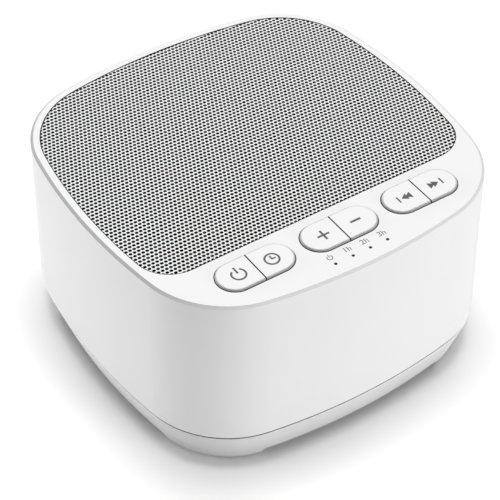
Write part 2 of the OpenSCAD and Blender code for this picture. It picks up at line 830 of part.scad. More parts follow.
module speaker_screws() {
  for (k = [0 : 3])
    on_axis(flange_z)
      rotate([0, 0, speaker_screw_a + 90 * k])
        translate([speaker_screw_r, 0, 0])
          screw(small_screw_d, small_head_d, small_head_h, flange_t + gasket_t + screw_reach - eps);
}

module main_board() {
  tab_back = back_y - wall - 0.8;
  half_w = main_w / 2;
  half_tab = tab_w / 2;
  color("darkgreen")
    difference() {
      translate([0, 0, main_board_z - board_t])
        linear_extrude(board_t)
          polygon([[-half_w, main_front], [half_w, main_front], [half_w, main_back], [half_tab, main_back],
            [half_tab, tab_back], [-half_tab, tab_back], [-half_tab, main_back], [-half_w, main_back]]);
      for (p = main_spots)
        translate([p[0], p[1], main_board_z - board_t - eps])
          cylinder(d = small_screw_d + 0.2, h = board_t + 2 * eps, $fn = small_fn);
    }
}

module main_board_screws() {
  for (p = main_spots)
    translate([p[0], p[1], main_board_z])
      rotate([180, 0, 0])
        screw(small_screw_d, small_head_d, small_head_h, board_t + screw_reach);
}

module main_chips() {
  color([0.1, 0.1, 0.11])
    translate([0, main_front, main_board_z]) {
      translate([-main_chip[0] / 2, 12, 0])
        cube(main_chip);
      for (s = [-1, 1])
        translate([s * main_w / 4 - power_chip[0] / 2, 16, 0])
          cube(power_chip);
    }
}

module capacitors() {
  color("silver")
    for (s = [-1, 1])
      translate([s * main_w / 4, main_back - can_d - 1, main_board_z])
        rotate_extrude($fn = round_fn)
          polygon([[0, 0], [can_d / 2, 0], [can_d / 2, can_h - 0.5], [can_d / 2 - 0.5, can_h], [0, can_h]]);
}

module lead_sockets() {
  color("ivory")
    translate([0, main_front + 2, main_board_z]) {
      translate([-main_w / 3, 0, 0])
        socket_shell(small_socket);
      translate([main_w / 3 - large_socket[0], 0, 0])
        socket_shell(large_socket);
    }
}

module socket_shell(size) {
  skin = 0.7;
  difference() {
    cube(size);
    translate([skin, skin, skin])
      cube([size[0] - 2 * skin, size[1] - 2 * skin, size[2]]);
  }
}

// USB inlet: steel shell with its contact tongue, mouth at the back wall
module usb_inlet() {
  skin = 0.3;
  tongue = [6.7, 0.7, 5];
  color("silver")
    translate([0, usb_back, usb_z])
      rotate([90, 0, 0]) {
        difference() {
          slot_prism(usb_w, usb_h, 0, usb_l);
          slot_prism(usb_w - 2 * skin, usb_h - 2 * skin, -eps, usb_l - 1.2);
        }
        translate([-tongue[0] / 2, -tongue[1] / 2, usb_l - 1.2 - tongue[2]])
          cube([tongue[0], tongue[1], tongue[2] + 0.6]);
      }
}

upper_housing();
bottom_cover();
foot_pads();
housing_screws();
speaker_grille();
dust_cloth();
key_power();
key_timer();
key_volume_down();
key_volume_up();
key_previous();
key_next();
plunger_power();
plunger_timer();
plunger_volume_down();
plunger_volume_up();
plunger_previous();
plunger_next();
tact_switches();
key_board();
key_board_screws();
indicator_pins();
status_leds();
speaker_gasket();
speaker_frame();
speaker_surround();
speaker_cone();
speaker_dust_cap();
voice_coil();
speaker_spider();
magnet_top_plate();
speaker_magnet();
magnet_yoke();
speaker_terminals();
speaker_screws();
main_board();
main_board_screws();
main_chips();
capacitors();
lead_sockets();
usb_inlet();
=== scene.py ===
"""Bedside sound machine: finishes, perforated grille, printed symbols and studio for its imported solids."""

import json
import math

import bmesh
import bpy
from bpy.props import FloatProperty, FloatVectorProperty, PointerProperty
from mathutils import Matrix, Vector

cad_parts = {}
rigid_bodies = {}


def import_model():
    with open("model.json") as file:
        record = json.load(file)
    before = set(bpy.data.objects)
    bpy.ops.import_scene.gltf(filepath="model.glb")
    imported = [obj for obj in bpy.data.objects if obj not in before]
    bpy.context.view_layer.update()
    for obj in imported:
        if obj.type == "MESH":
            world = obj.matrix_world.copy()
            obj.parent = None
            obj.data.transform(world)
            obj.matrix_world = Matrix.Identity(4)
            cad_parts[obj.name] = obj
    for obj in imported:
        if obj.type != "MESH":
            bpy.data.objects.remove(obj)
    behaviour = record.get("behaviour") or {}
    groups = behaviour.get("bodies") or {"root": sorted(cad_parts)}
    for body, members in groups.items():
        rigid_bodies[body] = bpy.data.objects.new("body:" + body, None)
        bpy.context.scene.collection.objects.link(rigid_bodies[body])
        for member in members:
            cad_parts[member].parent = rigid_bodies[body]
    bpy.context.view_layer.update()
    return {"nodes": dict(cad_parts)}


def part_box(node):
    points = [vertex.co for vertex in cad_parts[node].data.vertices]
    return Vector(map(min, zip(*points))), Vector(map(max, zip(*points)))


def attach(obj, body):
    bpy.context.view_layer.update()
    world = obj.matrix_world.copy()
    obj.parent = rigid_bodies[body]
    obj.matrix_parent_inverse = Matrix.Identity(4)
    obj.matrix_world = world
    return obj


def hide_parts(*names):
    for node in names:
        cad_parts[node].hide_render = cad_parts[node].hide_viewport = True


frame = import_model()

bl_info = {
    "name": "Sound Machine Dressing",
    "version": (1, 0, 0),
    "blender": (4, 5, 0),
    "location": "3D View > Sidebar > Sound Machine",
    "description": "Dresses the solids of a bedside sound machine",
    "category": "Object",
}

MM = 0.001

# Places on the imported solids
HOUSING_LO, HOUSING_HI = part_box("upper_housing")
STEEL_LO, STEEL_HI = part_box("speaker_grille")
PIN_LO, PIN_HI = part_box("indicator_pins")
INLET_LO, INLET_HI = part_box("usb_inlet")
PANEL_Z = HOUSING_HI.z
# Gap between the solid sheet and the wall of its recess
CAD_STEEL_GAP = 0.25 * MM
# The bar under the indicator pins is this much longer than the distance of its outer pins
PIN_BAR_MORE = 4.0 * MM

# Depths below the panel that the housing's painted shade goes by: on the bevel, on the walls of the recess
# and in the key wells. What lies within FLUSH of it is the panel.
BEVEL_DROP = 0.55 * MM
RECESS_DROP = 1.3 * MM
KEY_WELL_DROP = 2.5 * MM
FLUSH = 0.02 * MM
# Depths below the parting line that the cover's painted highlight and painted shade go by: the highlight on
# the bevel below the parting line, the shade along the line itself
LIP_DROP = 1.0 * MM
PARTING_SHADE_DROP = 0.25 * MM
# The upward part of a face's normal: a level face has more than LEVEL, a wall less than STEEP, and
# a key's side less than KEY_SIDE. The painted shade on a key's rim is full at 1 / RIM_STEEPNESS below 1.
LEVEL = 0.95
STEEP = 0.3
KEY_SIDE = 0.2
RIM_STEEPNESS = 16.0
# Painted shade on the bevel: it takes its lighter front tone as its normal turns this way, to the right and
# to the front, and its darker tone to the left and back
FRONT_WAY = (0.5, 0.87)
FRONT_START = 0.3
FRONT_SPAN = 0.81

# Mouldings: the marks of the flow, and the texture that the spark-eroded mould leaves
FLOW_SCALE = 45
FLOW_TONES = (0.985, 1.01)
ERODED_SCALE = 5200
ERODED_DEPTH = 0.012 * MM
ERODED_ROUGHNESS = 0.06
# Punched holes: painted shade that turns their walls near black, how far below the top it starts, the length
# over which it fades in, and its tone
HOLE_SHADE_START = 0.01 * MM
HOLE_SHADE_FADE = 0.03 * MM
HOLE_WALL_SHADE = (0.008, 0.008, 0.009)
HOLE_SIDES = 8
# Length of a punch in thicknesses of the sheet
PUNCH_LENGTH = 3
# Length of one band of a Wave texture whose scale is 1, in metres
WAVE_LENGTH = 0.314
# Height of the built-in font's capitals as a share of its size
CAP_HEIGHT = 0.7

# Studio floor: from its middle to its edge, and its thickness
FLOOR_REACH = 4.0
FLOOR_DEPTH = 0.01
# Squared distances from the middle: where the floor's own white starts, and how much further it is full
GLOW_START = 0.04
GLOW_SPAN = 0.2
# Lamps: turn and height angle in degrees, width and height in metres
LAMP_AIM = (0.0, 0.0, 0.03)
LAMP_DISTANCE = 0.9
LOW_LAMP = (0.45, 0.24)
TOP_LAMP = (0.5, 0.5)
LAMPS = {"left": (-130, 8, LOW_LAMP), "back": (-150, 8, LOW_LAMP), "front": (25, 8, LOW_LAMP),
         "side": (150, 8, LOW_LAMP), "top": (140, 85, TOP_LAMP)}


# Settings that a user would change

def length(name, text, default):
    """A length in metres."""
    return FloatProperty(name=name, description=text, default=default, unit="LENGTH", precision=5)


def number(name, text, default):
    """A plain number."""
    return FloatProperty(name=name, description=text, default=default)


def watts(name, text, default):
    """A lamp's power."""
    return FloatProperty(name=name, description=text, default=default, unit="POWER")


def colour(name, text, default):
    """A linear colour."""
    return FloatVectorProperty(name=name, description=text, default=default, subtype="COLOR",
                               size=3, min=0, max=1)


class SoundMachineSizes(bpy.types.PropertyGroup):
    """Sizes of the dressed pieces"""

    hole_pitch: length("Hole pitch", "Spacing of the holes along a row", 1.14 * MM)
    row_pitch: length("Row pitch", "Spacing of the rows", 1.126 * MM)
    hole_w: length("Hole width", "Width of a hole in the steel, along its row", 1.0 * MM)
    hole_h: length("Hole height", "Height of a hole in the steel, across its row", 0.9 * MM)
    steel_t: length("Steel thickness", "Thickness of the perforated steel", 0.5 * MM)
    steel_gap: length("Steel gap", "Gap all round the steel", 0.25 * MM)
    tape_w: length("Tape width", "Width of the adhesive tape under the steel's edge", 0.9 * MM)
    side_r: length("Side bulge", "Radius of the steel's bulged sides", 156.2 * MM)
    corner_r: length("Back corners", "Radius of the steel's back corners", 22.7 * MM)
    front_r: length("Front corners", "Radius of the steel's front corners", 9.9 * MM)
    ink_t: length("Ink thickness", "Height of the print above its surface", 0.012 * MM)
    symbol_r: length("Symbol radius", "Radius of the round key symbols", 2.05 * MM)
    symbol_w: length("Symbol stroke", "Stroke width of the key symbols", 0.5 * MM)
    symbol_in: length("Symbol place", "Distance of a symbol from the split between its two keys", 4.55 * MM)
    symbol_drop: length("Symbol drop", "Distance of the symbols in front of the keys' middle", 0.15 * MM)
    label_h: length("Label height", "Height of the time labels", 1.65 * MM)
    label_up: length("Label place", "Distance of the labels behind the indicator pins", 2.25 * MM)
    tongue_w: length("Tongue width", "Width of the contact tongue in the power inlet", 6.7 * MM)
    tongue_t: length("Tongue thickness", "Thickness of the contact tongue", 0.7 * MM)
    tongue_in: length("Tongue place", "Distance of the tongue's tip from the inlet's mouth", 1.3 * MM)
    contact_w: length("Contact width", "Width of a contact strip", 0.26 * MM)
    contact_l: length("Contact length", "Length of a contact strip", 3.4 * MM)
    contact_pitch: length("Contact pitch", "Spacing of the contact strips", 0.5 * MM)


class SoundMachineColours(bpy.types.PropertyGroup):
    """Colours of the finishes"""

    body: colour("Body", "Moulded housing", (0.82, 0.82, 0.82))
    # Painted shade: the cover is toned darker than the body, for the shade on its skirt
    cover: colour("Cover", "Moulded bottom cover", (0.71, 0.71, 0.71))
    # Painted shade: the bevel round the top is toned far darker than the body, least at the front
    bevel: colour("Bevel", "Shaded bevel round the top", (0.39, 0.39, 0.39))
    bevel_shade_front: colour("Bevel front", "Shaded bevel at the front", (0.62, 0.62, 0.62))
    # Painted shade: the keys' rim is toned darker, for the shade along their edges
    rim: colour("Rim", "Rounded rim of the keys", (0.3, 0.3, 0.3))
    # Painted highlight: the bevel below the parting line is toned lighter than the cover
    lip_highlight: colour("Lip", "Bevel below the parting line", (0.92, 0.92, 0.92))
    steel: colour("Steel", "Coated grille", (0.79, 0.79, 0.79))
    ink: colour("Ink", "Printed symbols", (0.09, 0.09, 0.09))
    label: colour("Label", "Printed time labels", (0.09, 0.09, 0.09))
    cloth: colour("Cloth", "Dust cloth", (0.012, 0.012, 0.013))
    floor: colour("Floor", "Studio floor", (0.93, 0.93, 0.93))
    # Painted shade: near black on walls inside narrow gaps, on the key sides and along the parting line
    gap_shade: colour("Dark", "Walls inside narrow gaps", (0.02, 0.02, 0.02))


class SoundMachineStudio(bpy.types.PropertyGroup):
    """Camera and lamps"""

    azimuth: number("Azimuth", "Camera's turn round the object, in degrees", -33.80)
    elevation: number("Elevation", "Camera's height angle, in degrees", 43.53)
    roll: number("Roll", "Camera's tilt about its axis, in degrees", 0.084)
    distance: length("Distance", "From the camera to its aim", 0.51)
    aim: FloatVectorProperty(name="Aim", description="Point at the middle of the view", subtype="XYZ",
                             unit="LENGTH", default=(-0.00469, -0.00458, 0.02749))
    lens: FloatProperty(name="Lens", description="Focal length in millimetres", default=140.8, unit="CAMERA")
    world: number("Sky", "Strength of the even light", 0.14)
    paper: number("Floor gain", "How much brighter the picture shows the floor", 1.1)
    left_w: watts("Left lamp", "Power of the low lamp behind on the left", 3.2)
    back_w: watts("Back lamp", "Power of the low lamp behind, nearer the middle", 0.7)
    front_w: watts("Front lamp", "Power of the low lamp at the front right", 3.75)
    side_w: watts("Side lamp", "Power of the low lamp behind on the right", 0.5)
    top_w: watts("Top lamp", "Power of the lamp above", 7.6)


# Shader nodes, written as expressions

class Wire:
    """A value in a material. Arithmetic on it adds Math nodes."""

    def __init__(self, finish, socket):
        self.finish = finish
        self.socket = socket

    def _math(self, operation, first, second=0.0, clamp=False):
        settings = {"operation": operation, "use_clamp": clamp}
        return self.finish.add("ShaderNodeMath", settings, {0: first, 1: second})

    def __add__(self, other):
        return self._math("ADD", self, other)

    __radd__ = __add__

    def __mul__(self, other):
        return self._math("MULTIPLY", self, other)

    __rmul__ = __mul__

    def __sub__(self, other):
        return self._math("SUBTRACT", self, other)

    def __rsub__(self, other):
        return self._math("SUBTRACT", other, self)

    def __truediv__(self, other):
        return self._math("DIVIDE", self, other)

    def __mod__(self, other):
        return self._math("FLOORED_MODULO", self, other)

    def __gt__(self, other):
        return self._math("GREATER_THAN", self, other)

    def __lt__(self, other):
        return self._math("LESS_THAN", self, other)

    def clamped(self):
        return self._math("ADD", self, 0.0, clamp=True)


class Finish:
    """A material in the making."""

    def __init__(self, name):
        self.material = bpy.data.materials.new(name)
        self.material.use_nodes = True
        self.tree = self.material.node_tree
        self.shader = self.tree.nodes["Principled BSDF"]
        self.place = self.add("ShaderNodeTexCoord", output="Object")

    def feed(self, socket, value):
        """Links a wire to a socket, or sets the socket's own value."""
        if isinstance(value, Wire):
            self.tree.links.new(value.socket, socket)
        elif hasattr(value, "__len__") and len(value) == 3 and socket.type == "RGBA":
            socket.default_value = (*value, 1.0)
        else:
            socket.default_value = value

    def add(self, kind, settings=None, inputs=None, output=0):
        """Adds one node: its settings first, then its sockets; gives back one output."""
        node = self.tree.nodes.new(kind)
        for name, value in (settings or {}).items():
            if name == "stops":
                self._stops(node.color_ramp, value)
            else:
                setattr(node, name, value)
        for socket, value in (inputs or {}).items():
            self.feed(node.inputs[socket], value)
        return Wire(self, node.outputs[output])

    def _stops(self, ramp, stops):
        while len(ramp.elements) < len(stops):
            ramp.elements.new(1.0)
        for element, (position, value) in zip(ramp.elements, stops):
            element.position = position
            element.color = (value, value, value, 1.0)

    def noise(self, scale, detail, roughness=0.5, place=None):
        inputs = {"Vector": place or self.place, "Scale": scale, "Detail": detail, "Roughness": roughness}
        return self.add("ShaderNodeTexNoise", None, inputs)

    def stretched(self, scale):
        """Object coordinates with each axis scaled on its own."""
        return self.add("ShaderNodeMapping", None, {"Vector": self.place, "Scale": scale})

    def mix(self, mask, first, second):
        """The first colour where the mask is 0, the second where it is 1."""
        return self.add("ShaderNodeMix", {"data_type": "RGBA"}, {0: mask, 6: first, 7: second}, output=2)

    def split(self, vector):
        """The three parts of a vector."""
        parts = self.tree.nodes.new("ShaderNodeSeparateXYZ")
        self.feed(parts.inputs[0], vector)
        return [Wire(self, socket) for socket in parts.outputs]

    def axes(self):
        """The place on the object, one wire for each axis."""
        return self.split(self.place)

    def normal(self):
        """The direction that a face points in, one wire for each axis."""
        return self.split(self.add("ShaderNodeNewGeometry", output="True Normal"))

    def bump(self, height, distance, strength):
        inputs = {"Height": height, "Distance": distance, "Strength": strength}
        return self.add("ShaderNodeBump", None, inputs)

    def eroded(self):
        """The fine pattern of a spark-eroded mould."""
        return self.noise(ERODED_SCALE, detail=2)

    def flowed(self, base):
        """A moulding's colour with the faint marks of its flow."""
        marks = self.noise(FLOW_SCALE, detail=3)
        return self.mix(marks, *(tint(base, tone) for tone in FLOW_TONES))

    def done(self, **values):
        """Feeds the shader's sockets, whose names have underscores for spaces."""
        for name, value in values.items():
            self.feed(self.shader.inputs[name.replace("_", " ")], value)
        return self.material


def tint(value, factor):
    """A colour made darker or lighter."""
    return tuple(min(1.0, channel * factor) for channel in value)


def moulded(name, base, rough=0.45):
    """Injection moulded plastic: faint flow variation, fine spark-eroded texture."""
    f = Finish(name)
    texture = f.eroded()
    return f.done(
        Base_Color=f.flowed(base),
        Roughness=rough - ERODED_ROUGHNESS / 2 + ERODED_ROUGHNESS * texture,
        Normal=f.bump(texture, ERODED_DEPTH, 0.5))


def housing(name, colours, key_zone):
    """Moulded plastic with a glossier bevel, and painted shade: the bevel toned darker, most on the left,
    and the walls in the recess and the key openings near black.
    """
    f = Finish(name)
    texture = f.eroded()
    x, y, z = f.axes()
    nx, ny, nz = f.normal()
    below_face = z < PANEL_Z - FLUSH
    # Painted shade on the bevel, in its darker tone on the left and its lighter tone to the front
    slanted = (nz > STEEP) * (nz < LEVEL) * (z > PANEL_Z - BEVEL_DROP - FLUSH) * below_face
    across, along = FRONT_WAY
    lit_to_front = ((across * nx - along * ny + FRONT_START) / FRONT_SPAN).clamped()
    # Painted shade: walls of the recess and of the key openings turn near black
    inward = (nx * x + ny * y < 0.0) * (z > PANEL_Z - RECESS_DROP)
    lo, hi = key_zone
    in_keys = (x > lo.x) * (x < hi.x) * (y > lo.y) * (y < hi.y) * (z > PANEL_Z - KEY_WELL_DROP)
    gap_shade = (inward + in_keys).clamped() * (nz < STEEP) * below_face * (nz > -STEEP)
    bevel = f.mix(lit_to_front, tuple(colours.bevel), tuple(colours.bevel_shade_front))
    return f.done(
        Base_Color=f.mix(gap_shade, f.mix(slanted, f.flowed(colours.body), bevel), tuple(colours.gap_shade)),
        Roughness=0.42 + ERODED_ROUGHNESS * texture - 0.12 * slanted,
        Normal=f.bump(texture, ERODED_DEPTH, 0.5))


def key_plastic(name, colours):
    """Moulded plastic of the keys, with painted shade: the rim toned down where the top curves over, the
    sides near black.
    """
    f = Finish(name)
    texture = f.eroded()
    slope = f.normal()[2]
    # Painted shade: the rim darkens as the top curves over, and the sides turn near black
    rim_shade = ((1.0 - slope) * RIM_STEEPNESS).clamped()
    rim = f.mix(rim_shade, tuple(colours.body), tuple(colours.rim))
    return f.done(
        Base_Color=f.mix(slope < KEY_SIDE, rim, tuple(colours.gap_shade)),
        Roughness=0.37 + ERODED_ROUGHNESS * texture,
        Normal=f.bump(texture, ERODED_DEPTH, 0.3))


def cover_plastic(name, colours, parting):
    """Moulded plastic of the cover, with a painted highlight on the bevel below the parting line and painted
    shade along the line itself.
    """
    f = Finish(name)
    texture = f.eroded()
    z = f.axes()[2]
    slope = f.normal()[2]
    # Painted highlight on the bevel below the parting line, and painted shade along the line
    near = (z > parting - LIP_DROP) * (z < parting)
    lip_highlight = near * (slope > STEEP) * (slope < LEVEL)
    parting_shade = (near * (slope > LEVEL) + lip_highlight * (z > parting - PARTING_SHADE_DROP)).clamped()
    skirt = f.mix(lip_highlight, f.flowed(colours.cover), tuple(colours.lip_highlight))
    return f.done(
        Base_Color=f.mix(parting_shade, skirt, tuple(colours.gap_shade)),
        Roughness=0.42 + ERODED_ROUGHNESS * texture,
        Normal=f.bump(texture, ERODED_DEPTH, 0.5))


def coated_steel(name, base, top):
    """Powder coated sheet, slightly pebbled on top, with painted shade that turns the walls of the punched
    holes near black.
    """
    f = Finish(name)
    z = f.axes()[2]
    # Painted shade: the walls of the punched holes turn near black below the top
    inside = ((top - HOLE_SHADE_START - z) / HOLE_SHADE_FADE).clamped()
    pebble = f.noise(3500, detail=2)
    return f.done(
        Base_Color=f.mix(inside, base, HOLE_WALL_SHADE),
        Roughness=0.42 + 0.08 * pebble,
        Normal=f.bump(pebble, 0.01 * MM, 0.4))


def woven(name, base, thread):
    """Plain weave: two crossing sets of threads, one thread to a band."""
    f = Finish(name)
    weave = {"Vector": f.place, "Scale": WAVE_LENGTH / thread, "Distortion": 0.6, "Detail": 1.0}
    bands = [f.add("ShaderNodeTexWave", {"bands_direction": axis, "wave_profile": "SIN"}, weave, output=1)
             for axis in ("X", "Y")]
    cross = bands[0] * bands[1]
    return f.done(
        Base_Color=f.mix(cross, tint(base, 0.5), tint(base, 1.5)),
        Roughness=0.95,
        Normal=f.bump(cross, 0.05 * MM, 0.7))


def inlet_steel(name, base, tongue_lo, tongue_hi):
    """Plated shell of the power inlet, with its contact tongue in black plastic."""
    f = Finish(name)
    x, y, z = f.axes()
    beside = (x > tongue_lo.x) * (x < tongue_hi.x) * (z > tongue_lo.z) * (z < tongue_hi.z)
    plastic = (beside * (y < tongue_hi.y) + (y < tongue_lo.y)).clamped()
    lines = f.noise(160, detail=4, roughness=0.6)
    shell = f.mix(lines, tint(base, 0.85), tint(base, 1.1))
    return f.done(
        Base_Color=f.mix(plastic, shell, (0.012, 0.012, 0.012)),
        Metallic=1.0 - plastic,
        Roughness=0.25 + 0.2 * plastic)


def printed(name, base):
    """Pad-printed ink with slightly uneven density."""
    f = Finish(name)
    density = f.noise(2500, detail=3)
    return f.done(Base_Color=f.mix(density, tint(base, 0.92), tint(base, 1.1)), Roughness=0.5)


def rubber(name, base):
    """Soft rubber, dusty on its high spots."""
    f = Finish(name)
    dust = f.noise(900, detail=4, roughness=0.6)
    return f.done(
        Base_Color=f.mix(dust, tint(base, 0.8), tint(base, 1.25)),
        Roughness=0.75 + 0.15 * dust,
        Normal=f.bump(dust, 0.03 * MM, 0.6))


def metal(name, base, rough=0.32):
    """Plated or rolled metal with a drawn grain."""
    f = Finish(name)
    lines = f.noise(160, detail=4, roughness=0.6, place=f.stretched((1.0, 30.0, 1.0)))
    return f.done(
        Base_Color=f.mix(lines, tint(base, 0.85), tint(base, 1.1)),
        Metallic=1.0,
        Roughness=rough - 0.06 + 0.14 * lines,
        Normal=f.bump(lines, 0.008 * MM, 0.4))


def glossy(name, base, rough):
    """Polished plastic with faint swirl marks."""
    f = Finish(name)
    swirl = f.noise(700, detail=5, roughness=0.65)
    return f.done(
        Base_Color=f.mix(swirl, tint(base, 0.9), tint(base, 1.15)),
        Roughness=rough + 0.05 * swirl,
        Normal=f.bump(swirl, 0.004 * MM, 0.3))


def laminate(name, base):
    """Circuit board: solder mask over copper tracks and pads."""
    f = Finish(name)
    cells = f.add("ShaderNodeTexVoronoi", {"feature": "DISTANCE_TO_EDGE", "distance": "MANHATTAN"},
                  {"Vector": f.place, "Scale": 330.0, "Randomness": 0.75})
    track = cells < 0.06
    spots = f.add("ShaderNodeTexVoronoi", None, {"Vector": f.place, "Scale": 420.0})
    pad = spots < 0.13
    copper = f.mix(track, base, tint(base, 1.9))
    return f.done(
        Base_Color=f.mix(pad, copper, (0.55, 0.52, 0.42)),
        Metallic=pad * 0.8,
        Roughness=0.3 + 0.1 * track,
        Normal=f.bump(track + pad, 0.03 * MM, 0.8))


def fibrous(name, base):
    """Pressed paper pulp."""
    f = Finish(name)
    fibres = f.noise(1400, detail=6, roughness=0.7, place=f.stretched((1.0, 2.6, 1.0)))
    return f.done(
        Base_Color=f.mix(fibres, tint(base, 0.6), tint(base, 1.7)),
        Roughness=0.9,
        Normal=f.bump(fibres, 0.05 * MM, 0.7))


def wound(name, base):
    """Enamelled wire, wound turn beside turn."""
    f = Finish(name)
    wire = 0.2 * MM
    turns = (f.axes()[2] / wire) % 1.0
    return f.done(
        Base_Color=f.mix(turns, tint(base, 0.55), tint(base, 1.1)),
        Metallic=0.9,
        Roughness=0.3,
        Normal=f.bump(turns, 0.05 * MM, 0.8))


# Mesh helpers

def new_piece(name, mesh, finish, body):
    """Links a finished mesh as one piece and lets it ride on a body."""
    piece = bpy.data.objects.new(name, mesh)
    bpy.context.scene.collection.objects.link(piece)
    mesh.materials.clear()
    mesh.materials.append(finish)
    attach(piece, body)
    return piece


def prism(mesh, outline, low, high):
    """Adds an upright prism over a flat outline of [x, y] points that runs anticlockwise."""
    bottom = [mesh.verts.new((x, y, low)) for x, y in outline]
    top = [mesh.verts.new((x, y, high)) for x, y in outline]
    mesh.faces.new(top)
    mesh.faces.new(bottom[::-1])
    count = len(outline)
    for k in range(count):
        after = (k + 1) % count
        mesh.faces.new((bottom[k], bottom[after], top[after], top[k]))


def band(mesh, inner, outer, low, high):
    """Adds a closed flat band between two outlines with as many points."""
    loops = [[mesh.verts.new((x, y, z)) for x, y in outline]
             for outline, z in ((inner, low), (outer, low), (outer, high), (inner, high))]
    count = len(inner)
    for first, second in zip(loops, loops[1:] + loops[:1]):
        for k in range(count):
            after = (k + 1) % count
            mesh.faces.new((first[k], first[after], second[after], second[k]))


def arc(centre, radius, start, sweep, steps):
    """Points along an arc, both ends included; angles in degrees."""
    angles = [math.radians(start + sweep * k / steps) for k in range(steps + 1)]
    return [(centre[0] + radius * math.cos(a), centre[1] + radius * math.sin(a)) for a in angles]


def from_bmesh(name, builder):
    """Makes a mesh with a function that fills a bmesh."""
    mesh = bpy.data.meshes.new(name)
    work = bmesh.new()
    builder(work)
    bmesh.ops.recalc_face_normals(work, faces=work.faces)
    work.to_mesh(mesh)
    work.free()
    return mesh


def paint_node(name, finish):
    """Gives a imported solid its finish."""
    for slot in frame["nodes"][name].material_slots:
        slot.material = finish


# Geometry nodes

class Tree:
    """A geometry node tree in the making, with named inputs."""

    def __init__(self, name, inputs):
        self.tree = bpy.data.node_groups.new(name, "GeometryNodeTree")
        face = self.tree.interface
        face.new_socket("Geometry", in_out="INPUT", socket_type="NodeSocketGeometry")
        face.new_socket("Geometry", in_out="OUTPUT", socket_type="NodeSocketGeometry")
        self.ids = {}
        for label, kind in inputs.items():
            socket = face.new_socket(label, in_out="INPUT", socket_type="NodeSocket" + kind)
            self.ids[label] = socket.identifier
        self.inputs = self.tree.nodes.new("NodeGroupInput").outputs
        self.exit = self.tree.nodes.new("NodeGroupOutput")

    def add(self, kind, settings=None, inputs=None, output=0):
        """Adds one node: its settings first, then its sockets; gives back one output."""
        node = self.tree.nodes.new(kind)
        for name, value in (settings or {}).items():
            setattr(node, name, value)
        for socket, value in (inputs or {}).items():
            target = node.inputs[socket]
            if isinstance(value, bpy.types.NodeSocket):
                self.tree.links.new(value, target)
            else:
                target.default_value = value
        return node.outputs[output]

    def math(self, operation, first, second=0.0):
        return self.add("ShaderNodeMath", {"operation": operation}, {0: first, 1: second})

    def along_x(self, distance):
        """A vector that points to +X."""
        return self.add("ShaderNodeCombineXYZ", None, {0: distance})

    def total(self, first, second):
        """The sum of two vectors."""
        return self.add("ShaderNodeVectorMath", {"operation": "ADD"}, {0: first, 1: second})

    def finish(self, geometry):
        """Ends the tree: instances made real, then painted."""
        real = self.add("GeometryNodeRealizeInstances", None, {0: geometry})
        painted = self.add("GeometryNodeSetMaterial", None, {
            "Geometry": real, "Material": self.inputs["Material"]})
        self.tree.links.new(painted, self.exit.inputs[0])

    def grow(self, name, mesh, values):
        """Runs the tree on a mesh and gives back the plain result."""
        holder = bpy.data.objects.new(name + "_work", mesh)
        bpy.context.scene.collection.objects.link(holder)
        modifier = holder.modifiers.new("build", "NODES")
        modifier.node_group = self.tree
        for label, value in values.items():
            modifier[self.ids[label]] = value
        view = bpy.context.evaluated_depsgraph_get()
        result = bpy.data.meshes.new_from_object(holder.evaluated_get(view))
        result.name = name
        holder.modifiers.remove(modifier)
        bpy.data.objects.remove(holder)
        return result


def perforation_tree():
    """Punches staggered rows of holes through a sheet."""
    t = Tree("perforation", {"Hole pitch": "Float", "Row pitch": "Float", "Hole": "Vector",
                             "Width": "Float", "Depth": "Float", "Middle": "Vector", "Punch": "Float",
                             "Sides": "Int", "Material": "Material"})
    i = t.inputs
    # Two more rows and holes than fit, so that the pattern runs over the edge
    across = t.math("ADD", t.math("CEIL", t.math("DIVIDE", i["Width"], i["Hole pitch"])), 2.0)
    along = t.math("ADD", t.math("CEIL", t.math("DIVIDE", i["Depth"], i["Row pitch"])), 2.0)
    grid = t.add("GeometryNodeMeshGrid", None, {
        "Size X": t.math("MULTIPLY", t.math("SUBTRACT", across, 1.0), i["Hole pitch"]),
        "Size Y": t.math("MULTIPLY", t.math("SUBTRACT", along, 1.0), i["Row pitch"]),
        "Vertices X": across, "Vertices Y": along})
    # Rows shift by a quarter pitch, to one side and the other in turn
    place = t.add("GeometryNodeInputPosition")
    y = t.add("ShaderNodeSeparateXYZ", None, {0: place}, output=1)
    half_rows = t.math("ROUND", t.math("DIVIDE", t.math("MULTIPLY", y, 2.0), i["Row pitch"]))
    stagger = t.math("FLOORED_MODULO", t.math("FLOOR", t.math("DIVIDE", half_rows, 2.0)), 2.0)
    shift = t.math("MULTIPLY", t.math("SUBTRACT", stagger, 0.5), t.math("DIVIDE", i["Hole pitch"], 2.0))
    moved = t.add("GeometryNodeSetPosition", None, {
        "Geometry": grid, "Offset": t.total(i["Middle"], t.along_x(shift))})
    punch = t.add("GeometryNodeMeshCylinder", None, {
        "Vertices": i["Sides"], "Radius": 0.5, "Depth": i["Punch"]})
    punches = t.add("GeometryNodeInstanceOnPoints", None, {
        "Points": moved, "Instance": punch, "Scale": i["Hole"]})
    cut = t.add("GeometryNodeMeshBoolean", {"operation": "DIFFERENCE", "solver": "MANIFOLD"}, {
        0: i["Geometry"], 1: t.add("GeometryNodeRealizeInstances", None, {0: punches})})
    t.finish(cut)
    return t


def contacts_tree():
    """A row of contact strips."""
    t = Tree("contacts", {"Count": "Int", "Pitch": "Float", "Strip": "Vector", "Middle": "Vector",
                          "Material": "Material"})
    i = t.inputs
    first = t.math("MULTIPLY", t.math("SUBTRACT", i["Count"], 1.0), t.math("DIVIDE", i["Pitch"], -2.0))
    line = t.add("GeometryNodeMeshLine", None, {
        "Count": i["Count"], "Start Location": t.total(i["Middle"], t.along_x(first)),
        "Offset": t.along_x(i["Pitch"])})
    strip = t.add("GeometryNodeMeshCube", None, {"Size": i["Strip"]})
    t.finish(t.add("GeometryNodeInstanceOnPoints", None, {"Points": line, "Instance": strip}))
    return t


